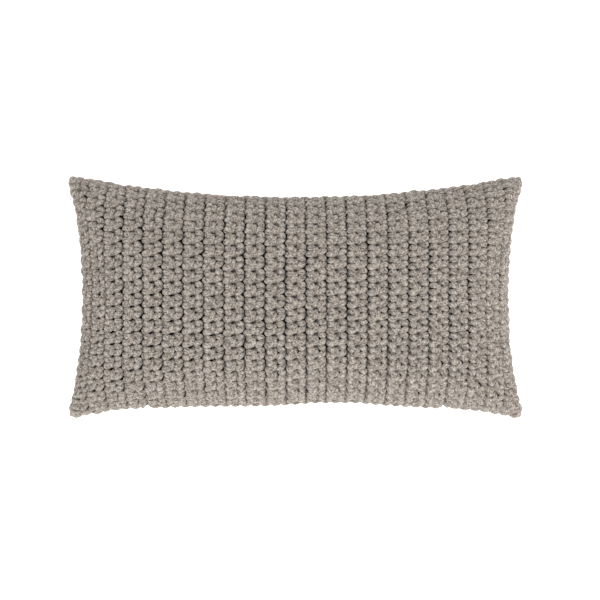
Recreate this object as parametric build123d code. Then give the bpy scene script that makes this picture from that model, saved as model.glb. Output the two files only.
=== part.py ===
"""A crocheted lumbar throw pillow with a zip in one long edge, lying on its back.

Frame: millimetres, +Z up. The origin is under the middle of the pillow, on the surface it lies on.
The long side runs along X, and the zip is in the long edge that faces -Y.

The soft layers are nested lens shapes. Each one is the outer lens taken in by an offset, and is cut at the
seam plane into a front half above and a back half below: crochet cover, woven lining, insert ticking.
The fibre filling is one solid in the middle.
"""

from build123d import *
from math import cos, pi, sin, sqrt
import os

# ---- Overall size ------------------------------------------------------------------------------
LENGTH = 656.0  # corner to corner along X
WIDTH = 346.0  # corner to corner along Y
CROWN = 78.0  # the front's rise above the seam plane
BELLY = 70.0  # the back's depth below the seam plane, before it is pressed flat
SEAM_HEIGHT = 64.0  # the seam plane above the surface
LONG_SIDE_PULL = 22.0  # how far each long side pulls in between its corners
SHORT_SIDE_PULL = 16.0  # how far each short side pulls in between its corners
CROWN_POWER_X = 3.0  # higher is flatter along the length
CROWN_POWER_Y = 2.6  # higher is flatter across the width

# ---- Layers, from the outside in ---------------------------------------------------------------
CROCHET = 14.0  # two crossing strands of the thick yarn
LINING = 1.0
TICKING = 0.8
THREAD_GAP = 1.2  # room between layers for the seam thread
FILLING_GAP = 0.6
FILLING_JOIN = 0.005  # how closely the filling's two halves meet

# ---- Yarn and thread in the seams --------------------------------------------------------------
SEAM_YARN_RADIUS = 3.0
SEAM_YARN_INSET = 2.0  # the yarn's middle lies this far inside the edge
SEAM_YARN_CLEARANCE = 0.3
SEAM_YARN_CORNER_GAP = 14.0  # each run stops this far from a corner
SEAM_THREAD_RADIUS = 0.3
SEAM_THREAD_CORNER_GAP = 12.0

# ---- Zip ---------------------------------------------------------------------------------------
CHAIN_LENGTH = 360.0
CHAIN_SHIFT = 5.0  # the chain's middle lies this far towards the closed end
TAPE_TAIL = 22.0  # what the tapes add to the chain at each end, on average
TAPE_WIDTH = 14.0
TAPE_THICKNESS = 0.7
CHAIN_SLIT = 1.0  # between the two coils, where the slider's post runs
COIL_WIDTH = 2.5
COIL_THICKNESS = 2.0
STOP_LENGTH = 3.0
BOTTOM_STOP_LENGTH = 4.0
BOTTOM_STOP_THICKNESS = 2.4
ZIP_THREAD = 0.5
ZIP_THREAD_DEPTH = 0.4
ZIP_THREAD_INSET = 3.5  # the stitching's distance from the tape's outer edge
SLOT_CLEARANCE = 2.3  # between the slider and the crochet above and below it
POCKET_CLEARANCE = 0.4  # around the tapes
POCKET_DEPTH = 1.0  # in front of the tapes, for the stitching
INSERT_CLEARANCE = 0.6  # between the insert and what is nearest to it, a tape's end or the slider

# ---- Slider and pull tab -----------------------------------------------------------------------
SLIDER_LENGTH = 11.0
SLIDER_GAP = 0.25  # running gap around the coils and tapes
OUTER_PLATE = 1.2
INNER_PLATE = 1.0
POST_THICKNESS = 0.5
POST_LENGTH = 6.0
FLANGE = 0.9
BRIDGE_LEG = 1.4
BRIDGE_WIDTH = 2.2
BRIDGE_OPENING = 6.2
BRIDGE_HEADROOM = 2.4
BRIDGE_TOP = 1.0
TAB_BAR_RADIUS = 0.8
TAB_ARM_GAP = 0.5  # between a tab arm and the bridge's side
TAB_ARM_WIDTH = 1.4
TAB_THICKNESS = 1.4
TAB_LENGTH = 20.0  # from the hinge bar to the tip
TAB_CORNER = 2.0
TAB_LOOP_CLEARANCE = 0.7  # between the bridge's leg and the tab's solid end
STOP_CLEARANCE = 0.3  # between the slider and a stop, at each end of its travel

# ---- Derived places ----------------------------------------------------------------------------
LINING_OFFSET = CROCHET + THREAD_GAP
TICKING_OFFSET = LINING_OFFSET + LINING + THREAD_GAP
FILLING_OFFSET = TICKING_OFFSET + TICKING + FILLING_GAP
FAR = LENGTH + WIDTH  # longer than anything, for cutting tools

TAPE_HALF = CHAIN_LENGTH / 2 + TAPE_TAIL
SLOT_HALF = TAPE_HALF + POCKET_CLEARANCE
COIL_NEAR = CHAIN_SLIT / 2
COIL_FAR = COIL_NEAR + COIL_WIDTH
ZIP_THREAD_OUT = COIL_NEAR + TAPE_WIDTH - ZIP_THREAD_INSET  # the stitching's distance from the slit's middle
CHAIN_CLOSED_END = CHAIN_LENGTH / 2 + CHAIN_SHIFT
CHAIN_OPEN_END = CHAIN_CLOSED_END - CHAIN_LENGTH


def side_y(x, offset=0.0):
    """The long edge's distance from the middle at x, for a layer taken in by offset."""
    share = x / (LENGTH / 2 - offset)
    return WIDTH / 2 - offset - LONG_SIDE_PULL * (1 - share**2)


def side_x(y, offset=0.0):
    """The short edge's distance from the middle at y, for a layer taken in by offset."""
    share = y / (WIDTH / 2 - offset)
    return LENGTH / 2 - offset - SHORT_SIDE_PULL * (1 - share**2)


INSERT_SEAM = TICKING_OFFSET - THREAD_GAP / 2 - SEAM_THREAD_RADIUS  # the outside of the insert's seam thread
BEHIND_TAPES = SLIDER_GAP + INNER_PLATE  # what the slider needs behind the tapes
TAPE_BACK = -INSERT_CLEARANCE - max(
    side_y(SLOT_HALF, INSERT_SEAM), side_y(CHAIN_CLOSED_END, INSERT_SEAM) + BEHIND_TAPES
)  # the tapes' face towards the insert
TAPE_FRONT = TAPE_BACK - TAPE_THICKNESS
COIL_FRONT = TAPE_FRONT - COIL_THICKNESS
PLATE_BACK = COIL_FRONT - SLIDER_GAP
PLATE_FRONT = PLATE_BACK - OUTER_PLATE
HINGE_Y = PLATE_FRONT - BRIDGE_HEADROOM / 2
SLIDER_X = CHAIN_CLOSED_END - STOP_CLEARANCE - SLIDER_LENGTH / 2
SLIDER_TRAVEL = CHAIN_LENGTH - SLIDER_LENGTH - 2 * STOP_CLEARANCE
SLIDER_HALF_WIDTH = COIL_FAR + SLIDER_GAP + FLANGE
SLOT_HALF_HEIGHT = SLIDER_HALF_WIDTH + SLOT_CLEARANCE

# ---- Soft layers -------------------------------------------------------------------------------
GRID_X = 33
GRID_Y = 25


def lens_point(along, across, offset, rise):
    """A point of a lens's curved face. along and across run from -1 to 1."""
    p = sin(along * pi / 2)
    q = sin(across * pi / 2)
    x = p * (LENGTH / 2 - offset - SHORT_SIDE_PULL * (1 - q**2))
    y = q * (WIDTH / 2 - offset - LONG_SIDE_PULL * (1 - p**2))
    bulge_x = max(0.0, 1 - abs(p) ** CROWN_POWER_X)
    bulge_y = max(0.0, 1 - abs(q) ** CROWN_POWER_Y)
    return Vector(x, y, SEAM_HEIGHT + rise * sqrt(bulge_x * bulge_y))


def half_lens(offset, rise):
    """A solid from the seam plane to a crown of that rise, which is negative for the back."""
    grid = [
        [lens_point(2 * i / (GRID_X - 1) - 1, 2 * j / (GRID_Y - 1) - 1, offset, rise) for j in range(GRID_Y)]
        for i in range(GRID_X)
    ]
    crown = Face.make_surface_from_array_of_points(grid, tol=0.02)
    base = Face(Wire(crown.outer_wire().edges()))
    solid = Solid(Shell([crown, base]))
    return solid if solid.volume > 0 else Solid(solid.wrapped.Reversed())


def front_half(offset):
    return half_lens(offset, CROWN - offset)


def back_half(offset):
    return half_lens(offset, offset - BELLY)


def shell(half, offset, thickness):
    """One half of a soft layer: the lens at offset, less the lens at its inner face."""
    return half(offset) - half(offset + thickness)


def edge_paths(inset, corner_gap, with_slot):
    """Arcs along the four edges at the seam plane, each stopping short of its corners.
    With a slot, the zip's edge has two runs, one each side of the slot."""
    x_end = LENGTH / 2 - inset - corner_gap
    y_end = WIDTH / 2 - inset - corner_gap

    def long_run(x0, x1, side):
        points = [(x, side * side_y(x, inset), SEAM_HEIGHT) for x in (x0, (x0 + x1) / 2, x1)]
        return Edge.make_three_point_arc(*points)

    def short_run(side):
        points = [(side * side_x(y, inset), y, SEAM_HEIGHT) for y in (-y_end, 0, y_end)]
        return Edge.make_three_point_arc(*points)

    paths = [long_run(-x_end, x_end, 1), short_run(-1), short_run(1)]
    if with_slot:
        paths += [long_run(-x_end, -SLOT_HALF, -1), long_run(SLOT_HALF, x_end, -1)]
    else:
        paths.append(long_run(-x_end, x_end, -1))
    return paths


def tube(path, radius):
    section = Plane(origin=path @ 0, z_dir=path % 0) * Circle(radius)
    return sweep(section, path)


def block(x0, x1, y0, y1, z0, z1):
    """A box from its corners, with z counted from the seam plane."""
    size = (abs(x1 - x0), abs(y1 - y0), abs(z1 - z0))
    centre = Location(((x0 + x1) / 2, (y0 + y1) / 2, SEAM_HEIGHT + (z0 + z1) / 2))
    return centre * Box(*size)


def zip_slot():
    """The room that the zip needs: an open slot for the slider, and a shallow pocket for the tapes."""
    slot = block(-SLOT_HALF, SLOT_HALF, -FAR, TAPE_BACK + CROCHET, -SLOT_HALF_HEIGHT, SLOT_HALF_HEIGHT)
    reach = COIL_NEAR + TAPE_WIDTH + POCKET_CLEARANCE
    pocket = block(
        -SLOT_HALF, SLOT_HALF, TAPE_FRONT - POCKET_DEPTH, TAPE_BACK + POCKET_CLEARANCE, -reach, reach
    )
    return slot + pocket


def crochet_panels():
    """The front and back of the crochet cover. The back is pressed flat where the pillow lies on it."""
    grooves = [
        tube(path, SEAM_YARN_RADIUS + SEAM_YARN_CLEARANCE)
        for path in edge_paths(SEAM_YARN_INSET, SEAM_YARN_CORNER_GAP - SEAM_YARN_CLEARANCE, True)
    ]
    surface = Location((0, 0, -BELLY)) * Box(FAR, FAR, 2 * BELLY)
    front = shell(front_half, 0, CROCHET) - grooves - zip_slot()
    back = shell(back_half, 0, CROCHET) - grooves - zip_slot() - surface
    return front, back


def lining_panels():
    """The woven bag inside the crochet, open behind the zip."""
    reach = COIL_NEAR + TAPE_WIDTH + POCKET_CLEARANCE
    opening = block(-SLOT_HALF, SLOT_HALF, -FAR, TAPE_BACK + CROCHET, -reach, reach)
    return [shell(half, LINING_OFFSET, LINING) - opening for half in (front_half, back_half)]


def ticking_panels():
    return [shell(half, TICKING_OFFSET, TICKING) for half in (front_half, back_half)]


def filling():
    return front_half(FILLING_OFFSET).fuse(back_half(FILLING_OFFSET), tol=FILLING_JOIN)


def seam_runs(inset, corner_gap, radius, with_slot):
    return Compound([tube(path, radius).solid() for path in edge_paths(inset, corner_gap, with_slot)])


# ---- Zip ---------------------------------------------------------------------------------------
def mirrored(solid):
    """The same piece on the other side of the seam plane."""
    return solid.mirror(Plane(origin=(0, 0, SEAM_HEIGHT), z_dir=(0, 0, 1)))


def zip_tape():
    return block(-TAPE_HALF, TAPE_HALF, TAPE_FRONT, TAPE_BACK, COIL_NEAR, COIL_NEAR + TAPE_WIDTH)


def zip_coil():
    return block(CHAIN_OPEN_END, CHAIN_CLOSED_END, COIL_FRONT, TAPE_FRONT, COIL_NEAR, COIL_FAR)


def zip_stitching():
    y0 = TAPE_FRONT - ZIP_THREAD_DEPTH
    return block(-TAPE_HALF, TAPE_HALF, y0, TAPE_FRONT, ZIP_THREAD_OUT, ZIP_THREAD_OUT + ZIP_THREAD)


def top_stops():
    """One clamped block at the closed end of each coil."""
    upper = block(
        CHAIN_CLOSED_END, CHAIN_CLOSED_END + STOP_LENGTH, COIL_FRONT, TAPE_FRONT, COIL_NEAR, COIL_FAR
    )
    return Compound([upper, mirrored(upper)])


def bottom_stop():
    """One block across both coils at the open end."""
    x0 = CHAIN_OPEN_END - BOTTOM_STOP_LENGTH
    return block(x0, CHAIN_OPEN_END, TAPE_FRONT - BOTTOM_STOP_THICKNESS, TAPE_FRONT, -COIL_FAR, COIL_FAR)


def slider_body():
    """Two plates joined by a thin post, flanges round the coils, and a bridge that holds the pull tab."""
    x0 = SLIDER_X - SLIDER_LENGTH / 2
    x1 = SLIDER_X + SLIDER_LENGTH / 2
    back_plate = TAPE_BACK + SLIDER_GAP
    inner_face = TAPE_BACK + BEHIND_TAPES
    outer = block(x0, x1, PLATE_FRONT, PLATE_BACK, -SLIDER_HALF_WIDTH, SLIDER_HALF_WIDTH)
    inner = block(x0, x1, back_plate, inner_face, -SLIDER_HALF_WIDTH, SLIDER_HALF_WIDTH)
    outer = fillet(outer.edges().filter_by(Axis.Y), TAB_CORNER)
    inner = fillet(inner.edges().filter_by(Axis.Y), TAB_CORNER)
    post = block(
        SLIDER_X - POST_LENGTH / 2, SLIDER_X + POST_LENGTH / 2,
        PLATE_BACK, back_plate, -POST_THICKNESS / 2, POST_THICKNESS / 2,
    )
    body = outer + inner + post
    flange = block(
        x0 + TAB_CORNER, x1 - TAB_CORNER, PLATE_BACK, TAPE_FRONT - SLIDER_GAP, SLIDER_HALF_WIDTH - FLANGE,
        SLIDER_HALF_WIDTH,
    )
    body += flange + mirrored(flange)
    leg_start = BRIDGE_OPENING / 2
    bridge_front = PLATE_FRONT - BRIDGE_HEADROOM - BRIDGE_TOP
    reach = leg_start + BRIDGE_LEG
    half_width = BRIDGE_WIDTH / 2
    arch = block(SLIDER_X - reach, SLIDER_X + reach, bridge_front, PLATE_FRONT, -half_width, half_width)
    arch = fillet(arch.edges().filter_by(Axis.Z).group_by(Axis.Y)[0], BRIDGE_LEG)
    opening = block(
        SLIDER_X - leg_start, SLIDER_X + leg_start, PLATE_FRONT - BRIDGE_HEADROOM, PLATE_FRONT,
        -half_width, half_width,
    )
    return body + (arch - opening)


def pull_tab():
    """A flat tab with an open eye. Its round bar turns under the slider's bridge."""
    half_width = BRIDGE_WIDTH / 2 + TAB_ARM_GAP + TAB_ARM_WIDTH
    tip = SLIDER_X - TAB_LENGTH
    y0 = HINGE_Y - TAB_THICKNESS / 2
    y1 = HINGE_Y + TAB_THICKNESS / 2
    plate = block(tip, SLIDER_X, y0, y1, -half_width, half_width)
    plate = fillet(plate.edges().filter_by(Axis.Y).group_by(Axis.X)[0], TAB_CORNER)
    eye_start = SLIDER_X - BRIDGE_OPENING / 2 - BRIDGE_LEG - TAB_LOOP_CLEARANCE
    eye_half = BRIDGE_WIDTH / 2 + TAB_ARM_GAP
    eye = block(eye_start, SLIDER_X + TAB_CORNER, y0, y1, -eye_half, eye_half)
    bar = Location((SLIDER_X, HINGE_Y, SEAM_HEIGHT)) * Cylinder(TAB_BAR_RADIUS, 2 * half_width)
    return (plate - eye) + bar


def main():
    os.makedirs("parts", exist_ok=True)
    crochet_front, crochet_back = crochet_panels()
    lining_front, lining_back = lining_panels()
    ticking_front, ticking_back = ticking_panels()
    lining_thread_inset = CROCHET + THREAD_GAP / 2
    ticking_thread_inset = LINING_OFFSET + LINING + THREAD_GAP / 2
    parts = {
        "crochet_front": crochet_front,
        "crochet_back": crochet_back,
        "seam_yarn": seam_runs(SEAM_YARN_INSET, SEAM_YARN_CORNER_GAP, SEAM_YARN_RADIUS, True),
        "lining_front": lining_front,
        "lining_back": lining_back,
        "lining_thread": seam_runs(lining_thread_inset, SEAM_THREAD_CORNER_GAP, SEAM_THREAD_RADIUS, True),
        "insert_front": ticking_front,
        "insert_back": ticking_back,
        "insert_thread": seam_runs(ticking_thread_inset, SEAM_THREAD_CORNER_GAP, SEAM_THREAD_RADIUS, False),
        "insert_filling": filling(),
        "zip_tape_upper": zip_tape(),
        "zip_tape_lower": mirrored(zip_tape()),
        "zip_coil_upper": zip_coil(),
        "zip_coil_lower": mirrored(zip_coil()),
        "zip_stitching_upper": zip_stitching(),
        "zip_stitching_lower": mirrored(zip_stitching()),
        "zip_top_stops": top_stops(),
        "zip_bottom_stop": bottom_stop(),
        "zip_slider": slider_body(),
        "zip_pull_tab": pull_tab(),
    }
    for name, shape in parts.items():
        export_step(shape, f"parts/{name}.step")


main()
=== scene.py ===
# %% [markdown]
# # A crocheted lumbar pillow
# The pillow lies on its back on a pale floor. Its cover is thick heather yarn, crocheted in bands that
# run the short way. Under the cover are a woven lining and a stuffed insert, and a zip closes one long
# edge. The CAD model gives the sizes. This script dresses it: it blows up a cloth bag, works the crochet
# over that bag strand by strand, and gives each piece its finish.
#
# Everything is in metres. X runs along the pillow, Y across it, and Z up.

# %% The CAD frame
import math

import bmesh
import bpy
import numpy as np
from mathutils import Matrix, Vector, noise


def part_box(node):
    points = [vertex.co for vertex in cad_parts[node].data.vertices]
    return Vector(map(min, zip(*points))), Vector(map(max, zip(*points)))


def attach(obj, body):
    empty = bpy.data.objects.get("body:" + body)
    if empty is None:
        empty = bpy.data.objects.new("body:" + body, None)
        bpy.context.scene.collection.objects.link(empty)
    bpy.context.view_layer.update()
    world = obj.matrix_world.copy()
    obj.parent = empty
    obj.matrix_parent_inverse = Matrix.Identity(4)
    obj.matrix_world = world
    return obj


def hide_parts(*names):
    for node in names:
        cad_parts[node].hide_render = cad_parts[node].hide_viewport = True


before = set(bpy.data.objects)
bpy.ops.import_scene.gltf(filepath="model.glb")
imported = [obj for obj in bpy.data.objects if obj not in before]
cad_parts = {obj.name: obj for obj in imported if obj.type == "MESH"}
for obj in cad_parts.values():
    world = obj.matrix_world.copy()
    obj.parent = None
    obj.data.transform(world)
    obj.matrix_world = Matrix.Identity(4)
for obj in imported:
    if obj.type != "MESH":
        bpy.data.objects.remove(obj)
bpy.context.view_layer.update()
front_low, front_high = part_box("crochet_front")
SEAM_Z = front_low.z
YARN_OUTSIDE = 0.0025
HALF_LENGTH = (front_high.x - front_low.x) / 2 + YARN_OUTSIDE
HALF_WIDTH = (front_high.y - front_low.y) / 2 + YARN_OUTSIDE
CROWN = front_high.z - SEAM_Z
PRESSED_FLAT = 0.006
BELLY = SEAM_Z + PRESSED_FLAT
COVER = "cover"
print("seam at", round(SEAM_Z, 4), "crown", round(CROWN, 4))
print("half sizes", round(HALF_LENGTH, 3), round(HALF_WIDTH, 3))

# %% [markdown]
# ## Looking at it
# A studio shot of a pillow is usually taken square on with a long lens, so that no side looks bigger than
# the other. The camera hangs straight above the pillow. The floor is white and glows, as a light table
# does, so that the pillow casts almost no shadow. A large lamp on the zip's side gives the yarn its
# shape, and a weaker one across from it lifts the shadows.

# %% Camera, floor and light
CAMERA_X, CAMERA_Y = 0.0065, -0.0044
CAMERA_HEIGHT = 3.2
SEEN_WIDTH = 0.873
SENSOR = 36.0

camera_data = bpy.data.cameras.new("camera")
camera_data.sensor_width = SENSOR
camera_data.lens = SENSOR * CAMERA_HEIGHT / SEEN_WIDTH
camera_data.clip_start = 0.05
camera_data.clip_end = 200
camera = bpy.data.objects.new("camera", camera_data)
camera.location = (CAMERA_X, CAMERA_Y, SEAM_Z + CAMERA_HEIGHT)
bpy.context.scene.collection.objects.link(camera)
bpy.context.scene.camera = camera


def lamp(name, place, target, size, watts):
    data = bpy.data.lights.new(name, "AREA")
    data.shape = "DISK"
    data.size = size
    data.energy = watts
    o = bpy.data.objects.new(name, data)
    o.location = place
    o.rotation_mode = "QUATERNION"
    o.rotation_quaternion = (Vector(target) - Vector(place)).to_track_quat("-Z", "Y")
    bpy.context.scene.collection.objects.link(o)
    return o


lamp("soft_box", (0.9, -1.3, 2.4), (0, 0, 0), 1.4, 44)
lamp("fill_box", (-1.6, 0.8, 2.2), (0, 0, 0), 1.6, 12)

world = bpy.data.worlds.new("studio")
world.use_nodes = True
world.node_tree.nodes["Background"].inputs["Color"].default_value = (1, 1, 1, 1)
world.node_tree.nodes["Background"].inputs["Strength"].default_value = 0.55
bpy.context.scene.world = world
bpy.context.scene.view_settings.view_transform = "Standard"


def plain_material(name):
    """A new material, and its nodes, its links and its main shader."""
    m = bpy.data.materials.new(name)
    m.use_nodes = True
    return m, m.node_tree.nodes, m.node_tree.links, m.node_tree.nodes["Principled BSDF"]


floor_mesh = bmesh.new()
bmesh.ops.create_grid(floor_mesh, x_segments=1, y_segments=1, size=60)
floor_data = bpy.data.meshes.new("floor")
floor_mesh.to_mesh(floor_data)
floor_mesh.free()
floor = bpy.data.objects.new("floor", floor_data)
bpy.context.scene.collection.objects.link(floor)
floor_finish, nodes, links, shader = plain_material("floor")
shader.inputs["Base Color"].default_value = (0.9, 0.9, 0.9, 1)
shader.inputs["Roughness"].default_value = 0.9
shader.inputs["Emission Color"].default_value = (1, 1, 1, 1)
shader.inputs["Emission Strength"].default_value = 0.95
floor_data.materials.append(floor_finish)

# %% [markdown]
# ## The bag
# A stuffed cover is two flat cloths sewn together and blown up by its filling. It swells in the middle,
# its sides pull in between the corners, and the corners stay flat and stand out. No real pillow does that
# evenly: this one pulls in more at its far side, and its near side has a shallow dent right of the
# middle. The bag starts as a grid on a lens shape with the CAD model's sizes. The grid is evened out
# until its squares are all about one size, as they are in a real cloth, so that crochet laid on it keeps
# its stitch size and closes up only where the surface turns away.

# %% The bag's shape before it is blown up
ACROSS_BANDS = 23
GRID_X = ACROSS_BANDS * 4 + 1
GRID_Y = 49
FAR_PULL, FAR_CURVE = 0.031, 2.0
NEAR_PULL, NEAR_CURVE = 0.0185, 4.0
NEAR_DENT, DENT_X, DENT_WIDTH = 0.006, 0.058, 0.065
END_PULL = 0.021
CROWN_POWER_X, CROWN_POWER_Y = 3.0, 2.6
CORNER_REACH, CORNER_IN = 0.030, 0.0034


def lens(p, q, rise):
    """A point of the bag, with p and q from -1 to 1 along X and Y."""
    far = FAR_PULL * (1 - np.abs(p) ** FAR_CURVE)
    near = NEAR_PULL * (1 - np.abs(p) ** NEAR_CURVE)
    near = near + NEAR_DENT * np.exp(-(((p * HALF_LENGTH - DENT_X) / DENT_WIDTH) ** 2))
    share = (1 + q) / 2
    x = p * (HALF_LENGTH - END_PULL * (1 - q**2))
    y = q * (HALF_WIDTH - far * share - near * (1 - share))
    near_end = np.clip(1 - (HALF_LENGTH - np.abs(x)) / CORNER_REACH, 0, 1)
    near_side = np.clip(1 - (HALF_WIDTH - np.abs(y)) / CORNER_REACH, 0, 1)
    rounding = CORNER_IN * near_end**2 * near_side**2
    x, y = x - np.sign(x) * rounding, y - np.sign(y) * rounding
    bulge = np.clip(1 - np.abs(p) ** CROWN_POWER_X, 0, 1) * np.clip(1 - np.abs(q) ** CROWN_POWER_Y, 0, 1)
    return np.stack([x, y, SEAM_Z + rise * np.sqrt(bulge)], axis=-1)


def evened(rise, rounds=40):
    """The grid's p and q, moved until the points are evenly spaced over the surface along each line."""
    p, q = np.meshgrid(np.linspace(-1, 1, GRID_X), np.linspace(-1, 1, GRID_Y), indexing="ij")
    for _ in range(rounds):
        for axis, count in ((0, GRID_X), (1, GRID_Y)):
            steps = np.linalg.norm(np.diff(lens(p, q, rise), axis=axis), axis=2)
            run = np.cumsum(steps, axis=axis)
            even = np.linspace(0, 1, count)
            for k in range(p.shape[1 - axis]):
                line = (slice(None), k) if axis == 0 else (k, slice(None))
                travel = np.concatenate([[0], run[line]]) / run[line][-1]
                p[line], q[line] = np.interp(even, travel, p[line]), np.interp(even, travel, q[line])
    return lens(p, q, rise)


front_bag = evened(CROWN)
back_bag = evened(-BELLY)
print("bag grid", front_bag.shape, "crown", round(float(front_bag[..., 2].max()), 4))

# %% [markdown]
# The cloth solver then blows the bag up from inside, with no gravity, which rounds the lens off. A cap
# keeps every point near its start. A bag that swells also draws in at its edges, so the result is brought
# back to the pillow's length, width and height.

# %% Blowing the bag up
MOVE_CAP = 0.006
PRESSURE = 4.0
FRAMES = 20


def grid_bmesh(points):
    """A bmesh grid whose vertices lie at points[i][j]."""
    bm = bmesh.new()
    nx, ny = points.shape[:2]
    bmesh.ops.create_grid(bm, x_segments=nx - 1, y_segments=ny - 1, size=1)
    for v in bm.verts:
        i = round((v.co.x + 1) / 2 * (nx - 1))
        j = round((v.co.y + 1) / 2 * (ny - 1))
        v.co = points[i][j]
    return bm


def link_mesh(name, bm):
    """Turns a bmesh into an object in the scene."""
    data = bpy.data.meshes.new(name)
    bm.to_mesh(data)
    bm.free()
    o = bpy.data.objects.new(name, data)
    bpy.context.scene.collection.objects.link(o)
    return o


def grid_keys(nx, ny):
    """The order in which create_grid makes its vertices, as (i, j)."""
    return [(i, j) for j in range(ny) for i in range(nx)]


def blown_up(front, back):
    """The two grids after the cloth solver has blown up the bag that they make."""
    nx, ny = front.shape[:2]
    ids = np.arange(nx * ny).reshape(nx, ny)
    bm = grid_bmesh(front)
    tag = bm.verts.layers.int.new("tag")
    grid = {}
    for v, key in zip(bm.verts, grid_keys(nx, ny)):
        v[tag] = ids[key]
        grid[("front", key)] = v
    other = bpy.data.meshes.new("back_half")
    back_bm = grid_bmesh(back)
    bmesh.ops.reverse_faces(back_bm, faces=back_bm.faces)
    back_bm.to_mesh(other)
    back_bm.free()
    first = len(bm.verts)
    bm.from_mesh(other)
    bm.verts.ensure_lookup_table()
    weld = {}
    for v, (i, j) in zip(bm.verts[first:], grid_keys(nx, ny)):
        v[tag] = nx * ny + ids[i, j]
        if i in (0, nx - 1) or j in (0, ny - 1):
            weld[v] = grid[("front", (i, j))]
    bmesh.ops.weld_verts(bm, targetmap=weld)
    bag = link_mesh("bag", bm)
    tags = np.zeros(len(bag.data.vertices), np.int32)
    bag.data.attributes["tag"].data.foreach_get("value", tags)
    start = np.zeros(len(tags) * 3)
    bag.data.vertices.foreach_get("co", start)
    cloth = bag.modifiers.new("cloth", "CLOTH")
    cloth.settings.use_pressure = True
    cloth.settings.uniform_pressure_force = PRESSURE
    cloth.settings.effector_weights.gravity = 0
    cloth.settings.quality = 6
    cloth.settings.mass = 0.4
    cloth.settings.tension_stiffness = 25
    cloth.settings.compression_stiffness = 25
    cloth.settings.bending_stiffness = 2
    cloth.point_cache.frame_start, cloth.point_cache.frame_end = 1, FRAMES
    for f in range(1, FRAMES + 1):
        bpy.context.scene.frame_set(f)
    made = bag.evaluated_get(bpy.context.evaluated_depsgraph_get())
    end = np.zeros(len(tags) * 3)
    made.data.vertices.foreach_get("co", end)
    move = (end - start).reshape(-1, 3)
    far = np.linalg.norm(move, axis=1, keepdims=True)
    print("blown up: moved at most", round(float(far.max()), 4))
    move *= np.minimum(1, MOVE_CAP / np.maximum(far, 1e-9))
    places = start.reshape(-1, 3) + move
    by_tag = {int(t): places[k] for k, t in enumerate(tags)}
    new_front = np.array([[by_tag[int(ids[i, j])] for j in range(ny)] for i in range(nx)])
    new_back = np.array(
        [[by_tag.get(nx * ny + int(ids[i, j]), new_front[i, j]) for j in range(ny)] for i in range(nx)]
    )
    bpy.data.objects.remove(bag)
    bpy.context.scene.frame_set(1)
    span = new_front.reshape(-1, 3)
    low, high = span.min(axis=0), span.max(axis=0)
    middle = np.array([(low[0] + high[0]) / 2, (low[1] + high[1]) / 2, SEAM_Z])
    size = np.array([2 * HALF_LENGTH / (high[0] - low[0]), 2 * HALF_WIDTH / (high[1] - low[1]), 1.0])
    seam = np.array([0, 0, SEAM_Z])
    front_size = size * [1, 1, CROWN / (high[2] - SEAM_Z)]
    back_size = size * [1, 1, BELLY / (SEAM_Z - new_back[..., 2].min())]
    return (new_front - middle) * front_size + seam, (new_back - middle) * back_size + seam


front_bag, back_bag = blown_up(front_bag, back_bag)
print("front", front_bag.reshape(-1, 3).min(0).round(4), front_bag.reshape(-1, 3).max(0).round(4))

# %% [markdown]
# Where the pillow lies on the floor, its back is pressed flat. Along the zip the two panels don't meet:
# the edge opens as a long mouth that the zip sits in.

# %% Pressing the back flat and opening the edge for the zip
tape_low, tape_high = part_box("zip_tape_upper")
SLOT_END = tape_high.x + 0.004
SLOT_FADE = 0.012
LIP = 0.0105
LIP_REACH = 0.03
ZIP_REACH = tape_high.z - SEAM_Z + 0.004
YARN_UNDER = 0.001


def pressed(bag):
    """The bag with its lowest part flattened onto the floor, and a soft turn where it leaves the floor."""
    z = bag[..., 2]
    soft = 0.004
    bag[..., 2] = (z + np.sqrt(z**2 + soft**2)) / 2
    bag[..., 2] += YARN_UNDER - bag[..., 2].min()
    return bag


def by_mouth(x):
    """1 where the mouth is open, 0 past its ends, and a soft step between."""
    along = np.clip((SLOT_END + SLOT_FADE / 2 - np.abs(x)) / SLOT_FADE, 0, 1)
    return along * along * (3 - 2 * along)


def opened(bag, way):
    """The bag with its near edge lifted or lowered where the zip is."""
    edge = bag[:, :1, 1]
    near = np.clip(1 - (bag[..., 1] - edge) / LIP_REACH, 0, 1) ** 2
    bag[..., 2] += way * LIP * near * by_mouth(bag[..., 0])
    return bag


back_bag = pressed(back_bag)
front_whole, back_whole = front_bag.copy(), back_bag.copy()
front_bag = opened(front_bag, 1)
back_bag = opened(back_bag, -1)


def bag_point(bag, s, t):
    """Points of a panel. s runs from 0 at -X to 1 at +X, and t from 0 at the far edge to 1 at the zip's."""
    nx, ny = bag.shape[:2]
    i = np.clip(np.asarray(s), 0, 1) * (nx - 1)
    j = (1 - np.clip(np.asarray(t), 0, 1)) * (ny - 1)
    i0, j0 = np.minimum(i.astype(int), nx - 2), np.minimum(j.astype(int), ny - 2)
    fi, fj = (i - i0)[..., None], (j - j0)[..., None]
    low = bag[i0, j0] * (1 - fi) + bag[i0 + 1, j0] * fi
    high = bag[i0, j0 + 1] * (1 - fi) + bag[i0 + 1, j0 + 1] * fi
    return low * (1 - fj) + high * fj


def outward(points, rise):
    """The way out of the bag at each point, 1 long where the surface is level."""
    x, y, z = points[..., 0], points[..., 1], points[..., 2]
    return np.stack([x / HALF_LENGTH, y / HALF_WIDTH, (z - SEAM_Z) / abs(rise)], axis=-1)


# %% [markdown]
# ## Yarn
# Each strand is a tube swept along a line. A flat grid becomes the tube: its long way follows the line,
# its short way goes round it, and the two long sides are welded. The grid's own UV map is kept, stretched
# to metres along the strand, so that the twist of the yarn follows every bend.

# %% Sweeping yarn along lines
YARN_RADIUS = 0.0048
SQUASHED = 0.75
SIDES = 7


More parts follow.
